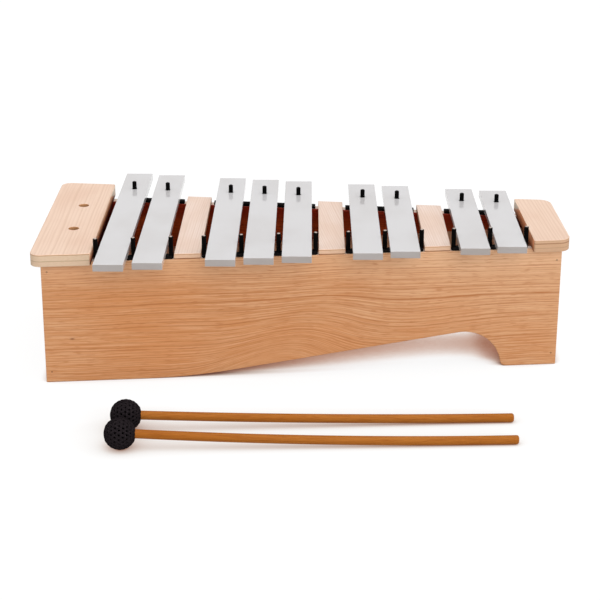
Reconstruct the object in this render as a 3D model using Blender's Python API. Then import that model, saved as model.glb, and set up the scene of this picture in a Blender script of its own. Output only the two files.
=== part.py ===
# A nine-bar alto metallophone, the sharps half of a chromatic pair, with its two mallets.
# Metres, +Z up. +X runs from the low notes to the high ones, +Y from the player to the far side.
# The origin is on the floor, in the middle of the footprint of the whole set.
import math

import bmesh
import bpy
from mathutils import Vector

# Row of bars: how they are grouped, and the stock they are cut from
GROUPS = (2, 3, 2, 2)
BAR_WIDTH = 0.0300
BAR_THICKNESS = 0.0072
BAR_LENGTH_LOW = 0.3230
BAR_LENGTH_HIGH = 0.1990
BAR_GAP = 0.0080
GROUP_GAP = 0.0415
BAR_EDGE = 0.0005
BAR_HOLE_CLEARANCE = 0.0005
UNDERCUT_DEPTH = 0.0018
UNDERCUT_MARGIN = 0.0240

# Case: a tapered box on two feet, open above and below its resonator floor
END_MARGIN_LOW = 0.0592
END_MARGIN_HIGH = 0.0423
CASE_DEPTH_LOW = 0.2310
CASE_DEPTH_HIGH = 0.1160
CASE_HEIGHT = 0.1307
WALL = 0.0120
WALL_EDGE = 0.0006
FLOOR_THICKNESS = 0.0040
FLOOR_DROP_LOW = 0.0610
FLOOR_DROP_HIGH = 0.0110
GROOVE_DEPTH = 0.0040

# Arch cut out of the bottom edge of the long panels
LOW_FOOT_LENGTH = 0.1474
HIGH_FOOT_LENGTH = 0.0590
ARCH_CORNER_HEIGHT = 0.0453
ARCH_FOOT_LEAN = 0.0080
ARCH_FOOT_FACE = 0.0010
ARCH_TOE_RADIUS = 0.6200
FOOT_CORNER_RADIUS = 0.0065

# End caps and the bridge slats between the groups of bars
CAP_THICKNESS = 0.0132
CAP_OVERHANG = 0.0130
CAP_END_OVERHANG_LOW = 0.0100
CAP_END_OVERHANG_HIGH = 0.0050
CAP_PIN_CLEARANCE = 0.0021
CAP_OUTER_RADIUS = 0.0120
CAP_INNER_RADIUS = 0.0025
CAP_EDGE = 0.0008
CAP_TURNS = (math.radians(0.45), math.radians(1.5))
SLAT_THICKNESS = 0.0060
SLAT_PIN_CLEARANCE = 0.00085
SLAT_EDGE = 0.0005
STORAGE_HOLE_INSET = 0.0245
STORAGE_HOLE_SPACING = 0.0820
STORAGE_HOLE_CLEARANCE = 0.0010

# Cushion strips on top of the long panels: a thin strip with a pad under each bar
CUSHION_HEIGHT = 0.0078
CUSHION_BASE = 0.0036
CUSHION_WIDTH = 0.0080
FRONT_CUSHION_INSET = 0.0005
REAR_CUSHION_INSET = 0.0030
PAD_MARGIN = 0.0012
REAR_STRIP_END = 0.0040
FRONT_STRIP_PAST_PIN = 0.0015

# Guide pins: a nail in a rubber sleeve
SLEEVE_DIAMETER = 0.0048
SLEEVE_EDGE = 0.0005
PIN_HEIGHT = 0.0238
NAIL_DIAMETER = 0.0020
NAIL_DEPTH = 0.0140
NAIL_POINT = 0.0020
NAIL_HEAD_DIAMETER = 0.0032
NAIL_HEAD_HEIGHT = 0.0005

# Mallets, lying in front of the case
MALLET_REACH = 0.3800
MALLET_STARTS = (0.0953, 0.0941)
MALLET_CLEARANCE = 0.0533
MALLET_GAP = 0.0112
MALLET_HEADINGS = (math.radians(3.50), math.radians(2.27))
HEAD_DIAMETER = 0.0310
STICK_DIAMETER = 0.0088
STICK_IN_HEAD = 0.0225
STICK_SAGS = (0.0020, 0.0026)
STICK_SWAYS = (0.0004, 0.0018)
STICK_END_ROUND = 0.0020

# Gap between faces that touch, and how finely round forms are faceted
SEAT = 0.0003
ARC_TOLERANCE = 0.00006
PIN_SEGMENTS = 10
HOLE_SEGMENTS = 16
STICK_SEGMENTS = 16
STICK_END_STEPS = 3
STICK_STEPS = 12
HEAD_SEGMENTS = 20
HEAD_RINGS = 14
UNDERCUT_STEPS = 10

# Sizes that follow from the ones above
BAR_COUNT = sum(GROUPS)
BAR_PITCH = BAR_WIDTH + BAR_GAP
GROUP_PITCH = BAR_WIDTH + GROUP_GAP
ROW_LENGTH = BAR_COUNT * BAR_WIDTH + (BAR_COUNT - len(GROUPS)) * BAR_GAP + (len(GROUPS) - 1) * GROUP_GAP
CASE_LENGTH = END_MARGIN_LOW + ROW_LENGTH + END_MARGIN_HIGH
CASE_LOW_X = -CASE_LENGTH / 2
CASE_HIGH_X = CASE_LENGTH / 2
TAPER = (CASE_DEPTH_HIGH - CASE_DEPTH_LOW) / 2 / CASE_LENGTH
TAPER_STRETCH = math.hypot(1.0, TAPER)
WALL_ALONG_Y = WALL * TAPER_STRETCH
BAR_Z = CASE_HEIGHT + CUSHION_HEIGHT
SLEEVE_RADIUS = SLEEVE_DIAMETER / 2
STICK_RADIUS = STICK_DIAMETER / 2
HEAD_RADIUS = HEAD_DIAMETER / 2
STORAGE_HOLE_RADIUS = STICK_RADIUS + STORAGE_HOLE_CLEARANCE
FRONT = -1
REAR = 1


# Layout of the row

def bar_groups():
    groups = []
    x = CASE_LOW_X + END_MARGIN_LOW + BAR_WIDTH / 2
    for count in GROUPS:
        centres = [x + BAR_PITCH * k for k in range(count)]
        groups.append(centres)
        x = centres[-1] + GROUP_PITCH
    return groups


BAR_GROUPS = bar_groups()
BAR_XS = [x for group in BAR_GROUPS for x in group]
FRONT_PIN_GROUPS = [[group[0] - BAR_PITCH / 2 + BAR_PITCH * k for k in range(len(group) + 1)]
                    for group in BAR_GROUPS]
FRONT_PIN_XS = [x for group in FRONT_PIN_GROUPS for x in group]


def half_depth(x):
    return CASE_DEPTH_LOW / 2 + TAPER * (x - CASE_LOW_X)


def inner_half_depth(x):
    return half_depth(x) - WALL_ALONG_Y


def bar_length(x):
    share = (x - BAR_XS[0]) / (BAR_XS[-1] - BAR_XS[0])
    return BAR_LENGTH_LOW + (BAR_LENGTH_HIGH - BAR_LENGTH_LOW) * share


def cushion_inset(side):
    return FRONT_CUSHION_INSET if side == FRONT else REAR_CUSHION_INSET


def pin_y(x, side):
    inset = cushion_inset(side) + CUSHION_WIDTH / 2
    return side * (half_depth(x) - inset * TAPER_STRETCH)


REAR_MALLET_Y = -(BAR_LENGTH_LOW / 2 + MALLET_CLEARANCE + HEAD_RADIUS)
FRONT_MALLET_Y = REAR_MALLET_Y - HEAD_DIAMETER - MALLET_GAP
SET_MIDDLE_X = (CAP_END_OVERHANG_HIGH - CAP_END_OVERHANG_LOW) / 2
SET_MIDDLE_Y = (BAR_LENGTH_LOW / 2 + FRONT_MALLET_Y - HEAD_RADIUS) / 2


# Small modelling tools

def material(name, colour, roughness, metallic=0.0):
    finish = bpy.data.materials.new(name)
    finish.use_nodes = True
    finish.diffuse_color = (*colour, 1.0)
    shader = finish.node_tree.nodes["Principled BSDF"]
    shader.inputs["Base Color"].default_value = (*colour, 1.0)
    shader.inputs["Roughness"].default_value = roughness
    shader.inputs["Metallic"].default_value = metallic
    return finish


def place(name, mesh, parent, finish=None, location=(0.0, 0.0, 0.0), rotation=(0.0, 0.0, 0.0)):
    piece = bpy.data.objects.new(name, mesh)
    bpy.context.scene.collection.objects.link(piece)
    piece.parent = parent
    piece.location = location
    piece.rotation_euler = rotation
    if finish and not mesh.materials:
        mesh.materials.append(finish)
    return piece


def empty(name, parent=None, location=(0.0, 0.0, 0.0), rotation=(0.0, 0.0, 0.0)):
    return place(name, None, parent, None, location, rotation)


def finished_mesh(name, form):
    bmesh.ops.recalc_face_normals(form, faces=form.faces)
    mesh = bpy.data.meshes.new(name)
    form.to_mesh(mesh)
    form.free()
    return mesh


def loft(name, start, end):
    # A closed solid between two outlines with the same number of points.
    form = bmesh.new()
    first = [form.verts.new(point) for point in start]
    last = [form.verts.new(point) for point in end]
    form.faces.new(first)
    form.faces.new(last)
    for k in range(len(first)):
        form.faces.new((first[k - 1], first[k], last[k], last[k - 1]))
    return finished_mesh(name, form)


def turned(name, profile, segments):
    # A closed solid turned about Z from (radius, height) points that start and end on the axis.
    form = bmesh.new()
    line = [form.verts.new((radius, 0.0, height)) for radius, height in profile]
    edges = [form.edges.new(pair) for pair in zip(line, line[1:])]
    bmesh.ops.spin(form, geom=line + edges, cent=(0, 0, 0), axis=(0, 0, 1),
                   angle=2 * math.pi, steps=segments, use_merge=True)
    bmesh.ops.remove_doubles(form, verts=form.verts, dist=1e-6)
    mesh = finished_mesh(name, form)
    mesh.shade_smooth()
    mesh.set_sharp_from_angle(angle=math.radians(40))
    return mesh


def filleted(corners):
    # An outline through (x, y, radius) corners, each rounded by an arc of its radius.
    outline = []
    for k, (x, y, radius) in enumerate(corners):
        corner = Vector((x, y))
        back = (Vector(corners[k - 1][:2]) - corner).normalized()
        ahead = (Vector(corners[(k + 1) % len(corners)][:2]) - corner).normalized()
        if radius == 0.0:
            outline.append(corner)
            continue
        half = back.angle(ahead) / 2
        centre = corner + (back + ahead).normalized() * radius / math.sin(half)
        start = corner + back * radius / math.tan(half) - centre
        sweep = (math.pi - 2 * half) * math.copysign(1.0, ahead.cross(back))
        steps = math.ceil(abs(sweep) / (2 * math.acos(1 - ARC_TOLERANCE / radius)))
        for step in range(steps + 1):
            turn = sweep * step / steps
            outline.append(centre + Vector((start.x * math.cos(turn) - start.y * math.sin(turn),
                                            start.x * math.sin(turn) + start.y * math.cos(turn))))
    return [(point.x, point.y) for point in outline]


def level(outline, z):
    return [(x, y, z) for x, y in outline]


def upright_hole_cutter(name, places, radius, bottom, top, parent):
    form = bmesh.new()
    for x, y in places:
        made = bmesh.ops.create_cone(form, cap_ends=True, segments=HOLE_SEGMENTS, radius1=radius,
                                     radius2=radius, depth=top - bottom)
        bmesh.ops.translate(form, verts=made["verts"], vec=(x, y, (bottom + top) / 2))
    return as_cutter(place(name, finished_mesh(name, form), parent))


def as_cutter(tool):
    tool.hide_render = True
    tool.display_type = "WIRE"
    return tool


def cut(piece, tool):
    boolean = piece.modifiers.new(tool.name, "BOOLEAN")
    boolean.operation = "DIFFERENCE"
    boolean.solver = "EXACT"
    boolean.object = tool


def ease(piece, width):
    bevel = piece.modifiers.new("eased_edges", "BEVEL")
    bevel.width = width
    bevel.segments = 1
    bevel.limit_method = "ANGLE"
    bevel.angle_limit = math.radians(50)


# Case panels and resonator floor

def arch_outline():
    # The crest's round fills the foot's leaning face, but for a short flat above the foot's own round.
    toe = Vector((CASE_LOW_X + LOW_FOOT_LENGTH, 0.0))
    foot = Vector((CASE_HIGH_X - HIGH_FOOT_LENGTH, 0.0))
    crest = Vector((foot.x - ARCH_FOOT_LEAN, ARCH_CORNER_HEIGHT))
    foot_half = (crest - foot).angle(Vector((1.0, 0.0))) / 2
    crest_half = (toe - crest).angle(foot - crest) / 2
    crest_run = (foot - crest).length - ARCH_FOOT_FACE - FOOT_CORNER_RADIUS / math.tan(foot_half)
    return filleted([
        (CASE_LOW_X, 0.0, 0.0),
        (toe.x, toe.y, ARCH_TOE_RADIUS),
        (crest.x, crest.y, crest_run * math.tan(crest_half)),
        (foot.x, foot.y, FOOT_CORNER_RADIUS),
        (CASE_HIGH_X, 0.0, 0.0),
        (CASE_HIGH_X, CASE_HEIGHT, 0.0),
        (CASE_LOW_X, CASE_HEIGHT, 0.0)])


def floor_height(x):
    run = CASE_LENGTH - 2 * WALL
    share = (x - CASE_LOW_X - WALL) / run
    return CASE_HEIGHT - FLOOR_DROP_LOW - (FLOOR_DROP_HIGH - FLOOR_DROP_LOW) * share


def floor_mesh(name, grow):
    # The sloping board, let into grooves all round. grow makes the cutter for those grooves.
    low = CASE_LOW_X + WALL - GROOVE_DEPTH - grow
    high = CASE_HIGH_X - WALL + GROOVE_DEPTH + grow
    reach = GROOVE_DEPTH + grow
    plan = [(low, -inner_half_depth(low) - reach), (high, -inner_half_depth(high) - reach),
            (high, inner_half_depth(high) + reach), (low, inner_half_depth(low) + reach)]
    under = [(x, y, floor_height(x) - FLOOR_THICKNESS - grow) for x, y in plan]
    over = [(x, y, floor_height(x) + grow) for x, y in plan]
    return loft(name, under, over)


def long_panel(name, side, parent, finish):
    outline = arch_outline()
    outer = [(x, side * half_depth(x), z) for x, z in outline]
    inner = [(x, side * inner_half_depth(x), z) for x, z in outline]
    panel = place(name, loft(name, outer, inner), parent, finish)
    ease(panel, WALL_EDGE)
    return panel


def end_panel(name, low_x, parent, finish):
    plan = []
    for x, side in ((low_x, FRONT), (low_x + WALL, FRONT), (low_x + WALL, REAR), (low_x, REAR)):
        plan.append((x, side * (inner_half_depth(x) - SEAT)))
    panel = place(name, loft(name, level(plan, 0.0), level(plan, CASE_HEIGHT)), parent, finish)
    ease(panel, WALL_EDGE)
    return panel


def build_case(parent):
    panel_wood = material("panel_wood", (0.58, 0.31, 0.16), 0.45)
    floor_wood = material("floor_wood", (0.30, 0.20, 0.13), 0.60)
    groove = as_cutter(place("floor_groove", floor_mesh("floor_groove", SEAT), parent))
    front = long_panel("front_panel", FRONT, parent, panel_wood)
    rear = long_panel("rear_panel", REAR, parent, panel_wood)
    low_end = end_panel("low_end_panel", CASE_LOW_X, parent, panel_wood)
    high_end = end_panel("high_end_panel", CASE_HIGH_X - WALL, parent, panel_wood)
    for panel in (front, rear, low_end, high_end):
        cut(panel, groove)
    for panel, xs, side in ((front, FRONT_PIN_XS, FRONT), (rear, BAR_XS, REAR)):
        places = [(x, pin_y(x, side)) for x in xs]
        holes = upright_hole_cutter(panel.name + "_nail_holes", places, NAIL_DIAMETER / 2 + SEAT,
                                    CASE_HEIGHT - NAIL_DEPTH - SEAT, CASE_HEIGHT + WALL, parent)
        cut(panel, holes)
    place("resonator_floor", floor_mesh("resonator_floor", 0.0), parent, floor_wood)


# End caps and bridge slats

def cap_outline(low_x, high_x, low_radius, high_radius, turn):
    # The caps are set on by hand, each turned a little about its own middle.
    corners = []
    middle = (low_x + high_x) / 2
    for x, side, radius in ((low_x, FRONT, low_radius), (high_x, FRONT, high_radius),
                            (high_x, REAR, high_radius), (low_x, REAR, low_radius)):
        across = side * (half_depth(x) + CAP_OVERHANG)
        corners.append((middle + (x - middle) * math.cos(turn) - across * math.sin(turn),
                        (x - middle) * math.sin(turn) + across * math.cos(turn), radius))
    return filleted(corners)


def end_cap(name, outline, parent, finish):
    under = level(outline, CASE_HEIGHT + SEAT)
    over = level(outline, CASE_HEIGHT + CAP_THICKNESS)
    cap = place(name, loft(name, under, over), parent, finish)
    ease(cap, CAP_EDGE)
    return cap


def build_caps_and_slats(parent):
    ply = material("ply", (0.86, 0.62, 0.46), 0.50)
    pin_reach = SLEEVE_RADIUS + CAP_PIN_CLEARANCE
    low_outline = cap_outline(CASE_LOW_X - CAP_END_OVERHANG_LOW, FRONT_PIN_XS[0] - pin_reach,
                              CAP_OUTER_RADIUS, CAP_INNER_RADIUS, CAP_TURNS[0])
    high_outline = cap_outline(FRONT_PIN_XS[-1] + pin_reach, CASE_HIGH_X + CAP_END_OVERHANG_HIGH,
                               CAP_INNER_RADIUS, CAP_OUTER_RADIUS, CAP_TURNS[1])
    low_cap = end_cap("low_end_cap", low_outline, parent, ply)
    end_cap("high_end_cap", high_outline, parent, ply)
    hole_x = CASE_LOW_X + STORAGE_HOLE_INSET
    places = [(hole_x, side * STORAGE_HOLE_SPACING / 2) for side in (FRONT, REAR)]
    cut(low_cap, upright_hole_cutter("storage_holes", places, STORAGE_HOLE_RADIUS, CASE_HEIGHT - WALL,
                                     CASE_HEIGHT + CAP_THICKNESS + WALL, parent))
    neighbours = zip(FRONT_PIN_GROUPS, FRONT_PIN_GROUPS[1:])
    for number, (before, after) in enumerate(neighbours, 1):
        low_x = before[-1] + SLEEVE_RADIUS + SLAT_PIN_CLEARANCE
        high_x = after[0] - SLEEVE_RADIUS - SLAT_PIN_CLEARANCE
        plan = [(low_x, -half_depth(low_x)), (high_x, -half_depth(high_x)),
                (high_x, half_depth(high_x)), (low_x, half_depth(low_x))]
        name = f"bridge_slat_{number}"
        mesh = loft(name, level(plan, CASE_HEIGHT + SEAT), level(plan, CASE_HEIGHT + SLAT_THICKNESS))
        ease(place(name, mesh, parent, ply), SLAT_EDGE)


# Cushion strips

def cushion_mesh(name, low_x, high_x, bars, side):
    # Side view of the strip, with a pad rising under each bar, drawn along the slanting panel.
    base = CASE_HEIGHT + CUSHION_BASE
    top = BAR_Z - SEAT
    outline = [(low_x, CASE_HEIGHT + SEAT), (high_x, CASE_HEIGHT + SEAT), (high_x, base)]
    for x in reversed(bars):
        reach = BAR_WIDTH / 2 - PAD_MARGIN
        outline += [(x + reach, base), (x + reach, top), (x - reach, top), (x - reach, base)]
    outline.append((low_x, base))
    near = cushion_inset(side) * TAPER_STRETCH
    far = near + CUSHION_WIDTH * TAPER_STRETCH
    outer = [(x, side * (half_depth(x) - near), z) for x, z in outline]
    inner = [(x, side * (half_depth(x) - far), z) for x, z in outline]
    return loft(name, outer, inner)


def build_cushions(parent):
    cushion_rubber = material("cushion_rubber", (0.025, 0.018, 0.017), 0.75)
    for side, word, pins in ((FRONT, "front", FRONT_PIN_XS), (REAR, "rear", BAR_XS)):
        places = [(x, pin_y(x, side)) for x in pins]
        holes = upright_hole_cutter(word + "_sleeve_holes", places, SLEEVE_RADIUS + SEAT,
                                    CASE_HEIGHT - CUSHION_BASE, BAR_Z + CUSHION_HEIGHT, parent)
        for number, (bars, guides) in enumerate(zip(BAR_GROUPS, FRONT_PIN_GROUPS), 1):
            if side == FRONT:
                ends = (guides[0] - FRONT_STRIP_PAST_PIN, guides[-1] + FRONT_STRIP_PAST_PIN)
            else:
                reach = BAR_WIDTH / 2 + REAR_STRIP_END
                ends = (bars[0] - reach, bars[-1] + reach)
            name = f"{word}_cushion_{number}"
            cut(place(name, cushion_mesh(name, *ends, bars, side), parent, cushion_rubber), holes)


# Guide pins

def pin_mesh():
    nail = NAIL_DIAMETER / 2
    head = NAIL_HEAD_DIAMETER / 2
    sleeve_top = PIN_HEIGHT - NAIL_HEAD_HEIGHT
    return turned("guide_pin", [
        (0.0, -NAIL_DEPTH),
        (nail, NAIL_POINT - NAIL_DEPTH),
        (nail, SEAT),
        (SLEEVE_RADIUS, SEAT),
        (SLEEVE_RADIUS, sleeve_top - SLEEVE_EDGE),
        (SLEEVE_RADIUS - SLEEVE_EDGE, sleeve_top),
        (head, sleeve_top),
        (head - NAIL_HEAD_HEIGHT, PIN_HEIGHT),
        (0.0, PIN_HEIGHT)], PIN_SEGMENTS)


def build_pins(parent):
    sleeve_rubber = material("sleeve_rubber", (0.015, 0.013, 0.013), 0.45)
    mesh = pin_mesh()
    for side, word, xs in ((FRONT, "front", FRONT_PIN_XS), (REAR, "rear", BAR_XS)):
        for number, x in enumerate(xs, 1):
            place(f"{word}_pin_{number}", mesh, parent, sleeve_rubber, (x, pin_y(x, side), CASE_HEIGHT))


# Bars

def bar_mesh(name, x):
    # Side view from the player's end to the far end, with the tuning undercut between the supports.
    half = bar_length(x) / 2
    reach = pin_y(x, REAR) - UNDERCUT_MARGIN
    under = [(-half, 0.0)]
    for step in range(UNDERCUT_STEPS + 1):
        y = reach * (2 * step / UNDERCUT_STEPS - 1)
        under.append((y, UNDERCUT_DEPTH * (1 - (y / reach) ** 2)))
    outline = under + [(half, 0.0), (half, BAR_THICKNESS), (-half, BAR_THICKNESS)]
    low_face = [(-BAR_WIDTH / 2, y, z) for y, z in outline]
    high_face = [(BAR_WIDTH / 2, y, z) for y, z in outline]
    return loft(name, low_face, high_face)


def build_bars(parent):
    aluminium = material("aluminium", (0.78, 0.77, 0.78), 0.35, 1.0)
    places = [(x, pin_y(x, REAR)) for x in BAR_XS]
    holes = upright_hole_cutter("bar_holes", places, SLEEVE_RADIUS + BAR_HOLE_CLEARANCE,
                                BAR_Z - BAR_THICKNESS, BAR_Z + 2 * BAR_THICKNESS, parent)
    for number, x in enumerate(BAR_XS, 1):
        name = f"bar_{number}"
        bar = place(name, bar_mesh(name, x), parent, aluminium, (x, 0.0, BAR_Z))
        ease(bar, BAR_EDGE)
        cut(bar, holes)


# Mallets

def stick_mesh(number, sag, sway):
    # A turned rod, bowed between the head and its far end: down by the sag, to the player by the sway.
    inner_end = HEAD_RADIUS - STICK_IN_HEAD
    bowed = MALLET_REACH - HEAD_RADIUS
    profile = [(0.0, inner_end), (STICK_RADIUS, inner_end)]
    for step in range(STICK_STEPS):
        profile.append((STICK_RADIUS, HEAD_RADIUS + bowed * step / STICK_STEPS))
    for step in range(STICK_END_STEPS + 1):
        angle = math.pi / 2 * step / STICK_END_STEPS
        profile.append((STICK_RADIUS - STICK_END_ROUND * (1 - math.cos(angle)),
                        MALLET_REACH - STICK_END_ROUND * (1 - math.sin(angle))))
    mesh = turned(f"mallet_{number}_stick", profile + [(0.0, MALLET_REACH)], STICK_SEGMENTS)
    for point in mesh.vertices:
        share = max(0.0, point.co.z - HEAD_RADIUS) / bowed
        bow = 4 * share * (1 - share)
        point.co.x += sag * bow
        point.co.y -= sway * bow
    return mesh


def head_mesh():
    # A ball with a blind bore for the stick.
    bore = STICK_RADIUS + SEAT
    mouth = math.pi - math.asin(bore / HEAD_RADIUS)
    ball = []
    for ring in range(HEAD_RINGS + 1):
        angle = mouth * ring / HEAD_RINGS
        ball.append((HEAD_RADIUS * math.sin(angle), -HEAD_RADIUS * math.cos(angle)))
    bore_end = HEAD_RADIUS - STICK_IN_HEAD - SEAT
    return turned("mallet_head", ball + [(bore, bore_end), (0.0, bore_end)], HEAD_SEGMENTS)


def build_mallets(parent):
    stick_wood = material("stick_wood", (0.55, 0.22, 0.05), 0.35)
    knit = material("knit", (0.012, 0.012, 0.016), 0.85)
    head = head_mesh()
    droop = math.asin((HEAD_RADIUS - STICK_RADIUS) / MALLET_REACH)
    ys = (REAR_MALLET_Y, FRONT_MALLET_Y)
    laid = zip(MALLET_STARTS, ys, MALLET_HEADINGS, STICK_SAGS, STICK_SWAYS)
    for number, (start, y, heading, sag, sway) in enumerate(laid, 1):
        centre = (CASE_LOW_X + start, y, HEAD_RADIUS)
        mallet = empty(f"mallet_{number}", parent, centre, (0.0, math.pi / 2 + droop, heading))
        place(f"mallet_{number}_stick", stick_mesh(number, sag, sway), mallet, stick_wood)
        place(f"mallet_{number}_head", head, mallet, knit)


def main():
    for old in list(bpy.data.objects):
        bpy.data.objects.remove(old, do_unlink=True)
    instrument = empty("metallophone", None, (-SET_MIDDLE_X, -SET_MIDDLE_Y, 0.0))
    build_case(instrument)
    build_caps_and_slats(instrument)
    build_cushions(instrument)
    build_pins(instrument)
    build_bars(instrument)
    build_mallets(instrument)
    bpy.context.view_layer.update()


main()
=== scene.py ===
# Looks of a nine-bar alto metallophone and its two mallets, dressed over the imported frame.
# Metres in the frame's own axes: +X towards the high notes, +Y away from the player, +Z up.
import math

import bmesh
import bpy
from mathutils import Euler, Matrix, Vector


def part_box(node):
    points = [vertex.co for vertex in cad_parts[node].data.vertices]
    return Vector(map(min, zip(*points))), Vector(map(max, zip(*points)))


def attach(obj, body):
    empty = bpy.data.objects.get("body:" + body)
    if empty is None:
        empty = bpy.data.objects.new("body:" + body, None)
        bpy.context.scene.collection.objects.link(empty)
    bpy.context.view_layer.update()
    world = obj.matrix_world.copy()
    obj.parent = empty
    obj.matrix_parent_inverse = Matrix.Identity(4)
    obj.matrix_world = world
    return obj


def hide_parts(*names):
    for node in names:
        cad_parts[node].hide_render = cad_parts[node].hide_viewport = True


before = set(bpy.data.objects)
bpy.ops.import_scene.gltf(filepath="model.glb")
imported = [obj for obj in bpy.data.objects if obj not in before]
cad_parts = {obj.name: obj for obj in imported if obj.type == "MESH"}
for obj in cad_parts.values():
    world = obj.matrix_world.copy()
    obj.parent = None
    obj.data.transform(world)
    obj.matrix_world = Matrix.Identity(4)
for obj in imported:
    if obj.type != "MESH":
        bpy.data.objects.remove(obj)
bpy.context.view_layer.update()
scene = bpy.context.scene
scene.view_settings.view_transform = "Standard"
print("frame loaded:", len(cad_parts), "nodes")

# Layout read off the frame's own nodes
caseLow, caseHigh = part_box("front_panel")
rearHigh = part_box("rear_panel")[1]
caseLowX = caseLow.x
caseTop = caseHigh.z
midY = (caseLow.y + rearHigh.y) / 2
lowHalfDepth = rearHigh.y - midY
barGroups = (2, 3, 2, 2)
barCount = sum(barGroups)
sideTaper = 57.5 / 536.0        # each long panel leans in by this much per unit of length
sideAngle = math.atan(sideTaper)
frontSide = -1
rearSide = 1
perMetre = 1000.0               # finishes are written in millimetres
caseTopMm = caseTop * perMetre
caseLowMm = caseLowX * perMetre
caseHighMm = caseHigh.x * perMetre

# Limits that the selections below share
sharpTurn = 0.9                 # an edge that turns by more than this, in radians, is a corner
sideLimit = 0.75                # a face that points up or down by less than this is a side
facingLimit = 0.9               # a face that points along an axis by more than this faces that way
flatLimit = 0.99                # the same for a level face or an upright edge
onPlane = 1e-5                  # metres within which a point lies on a plane
drillMargin = 0.01              # metres by which a drill bit stands out at both ends
smoothAngle = 35.0              # degrees
smallSmoothAngle = 40.0         # degrees, for pins and brads


def halfDepth(x):
    return lowHalfDepth - sideTaper * (x - caseLowX)


def nodeMiddle(node):
    low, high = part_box(node)
    return (low.x + high.x) / 2, (low.y + high.y) / 2


frontPins = [nodeMiddle(f"front_pin_{k}") for k in range(1, barCount + len(barGroups) + 1)]
rearPins = [nodeMiddle(f"rear_pin_{k}") for k in range(1, barCount + 1)]
barXs = [nodeMiddle(f"bar_{k}")[0] for k in range(1, barCount + 1)]


# Hands-on helpers: one piece is active at a time, and the rest is deselected

def openMesh():
    bpy.ops.object.mode_set(mode="EDIT")


def closeMesh():
    bpy.ops.object.mode_set(mode="OBJECT")


def deselectAll():
    if bpy.context.object and bpy.context.object.mode != "OBJECT":
        closeMesh()
    bpy.ops.object.select_all(action="DESELECT")


def makeActive(piece):
    deselectAll()
    piece.select_set(True)
    bpy.context.view_layer.objects.active = piece


def settle(name):
    # Names what was just added and moves its place into its mesh.
    piece = bpy.context.object
    piece.name = name
    piece.data.name = name
    bpy.ops.object.transform_apply(location=True, rotation=True, scale=True)
    return piece


def addBlock(name, low, high):
    deselectAll()
    bpy.ops.mesh.primitive_cube_add(size=1, location=(low + high) / 2, scale=high - low)
    return settle(name)


def addRound(name, radius, low, high, sides):
    # An upright cylinder from the point low to the height high.
    deselectAll()
    middle = (low.x, low.y, (low.z + high) / 2)
    bpy.ops.mesh.primitive_cylinder_add(vertices=sides, radius=radius, depth=high - low.z, location=middle)
    return settle(name)


def pick(kind, test):
    # In edit mode, selects the vertices, edges or faces that pass the test, and says how many.
    mesh = bmesh.from_edit_mesh(bpy.context.object.data)
    bpy.ops.mesh.select_mode(type=kind)
    bpy.ops.mesh.select_all(action="DESELECT")
    mesh.normal_update()
    items = {"VERT": mesh.verts, "EDGE": mesh.edges, "FACE": mesh.faces}[kind]
    found = [item for item in items if test(item)]
    for item in found:
        item.select_set(True)
    mesh.select_flush_mode()
    bmesh.update_edit_mesh(bpy.context.object.data)
    return len(found)


def edgeTurn(edge):
    return edge.calc_face_angle(0.0)


def edgeMiddle(edge):
    return (edge.verts[0].co + edge.verts[1].co) / 2


def isUpright(edge):
    return abs((edge.verts[0].co - edge.verts[1].co).normalized().z) > flatLimit


def isCorner(edge):
    return edgeTurn(edge) > sharpTurn


def isSide(face):
    return abs(face.normal.z) < sideLimit


def roundEdges(test, size, steps):
    if pick("EDGE", test):
        bpy.ops.mesh.bevel(offset=size, offset_type="OFFSET", segments=steps, profile=0.5, affect="EDGES")


def narrowEnd(middle, share):
    # Draws in the end towards the high notes, across the case only.
    pick("VERT", lambda v: v.co.x > middle[0])
    bpy.ops.transform.resize(value=(1.0, share, 1.0), center_override=middle)


def cutAcross(places, axis):
    # Cuts the whole mesh by a plane across the axis at each place.
    normal = Vector((0.0, 0.0, 0.0))
    normal[axis] = 1.0
    for place in places:
        bpy.ops.mesh.select_mode(type="FACE")
        bpy.ops.mesh.select_all(action="SELECT")
        bpy.ops.mesh.bisect(plane_co=normal * place, plane_no=normal)


def shapeBy(piece, kind, **settings):
    # Adds a modifier with these settings and applies it.
    made = piece.modifiers.new(kind, kind)
    for key, value in settings.items():
        setattr(made, key, value)
    bpy.ops.object.modifier_apply(modifier=made.name)


def drill(piece, places, radius, low, high, sides):
    # Round upright holes right through, from low to high, by one Boolean each.
    for x, y in places:
        foot = Vector((x, y, low - drillMargin))
        cutter = addRound("drillBit", radius, foot, high + drillMargin, sides)
        makeActive(piece)
        shapeBy(piece, "BOOLEAN", operation="DIFFERENCE", solver="EXACT", object=cutter)
        bpy.data.objects.remove(cutter, do_unlink=True)


def smoothBy(angle):
    bpy.ops.object.shade_smooth_by_angle(angle=math.radians(angle))


def smoothOff(piece):
    # Smooth shading with true flats: normals follow the larger faces.
    makeActive(piece)
    smoothBy(smoothAngle)
    shapeBy(piece, "WEIGHTED_NORMAL", keep_sharp=True)


def dress(piece, finishes, body, slot, *nodes):
    for finish in finishes:
        piece.data.materials.append(finish)
    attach(piece, body)
    if nodes:
        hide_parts(*nodes)


def finishNode(node, finish):
    # A board of the frame that is kept as it is gets a finish of its own.
    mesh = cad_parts[node].data
    mesh.materials.clear()
    mesh.materials.append(finish)


def paintFaces(piece, number, test):
    for face in piece.data.polygons:
        if test(face):
            face.material_index = number


# Shader maths: a socket that takes part in plain expressions, and the graph it belongs to

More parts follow.
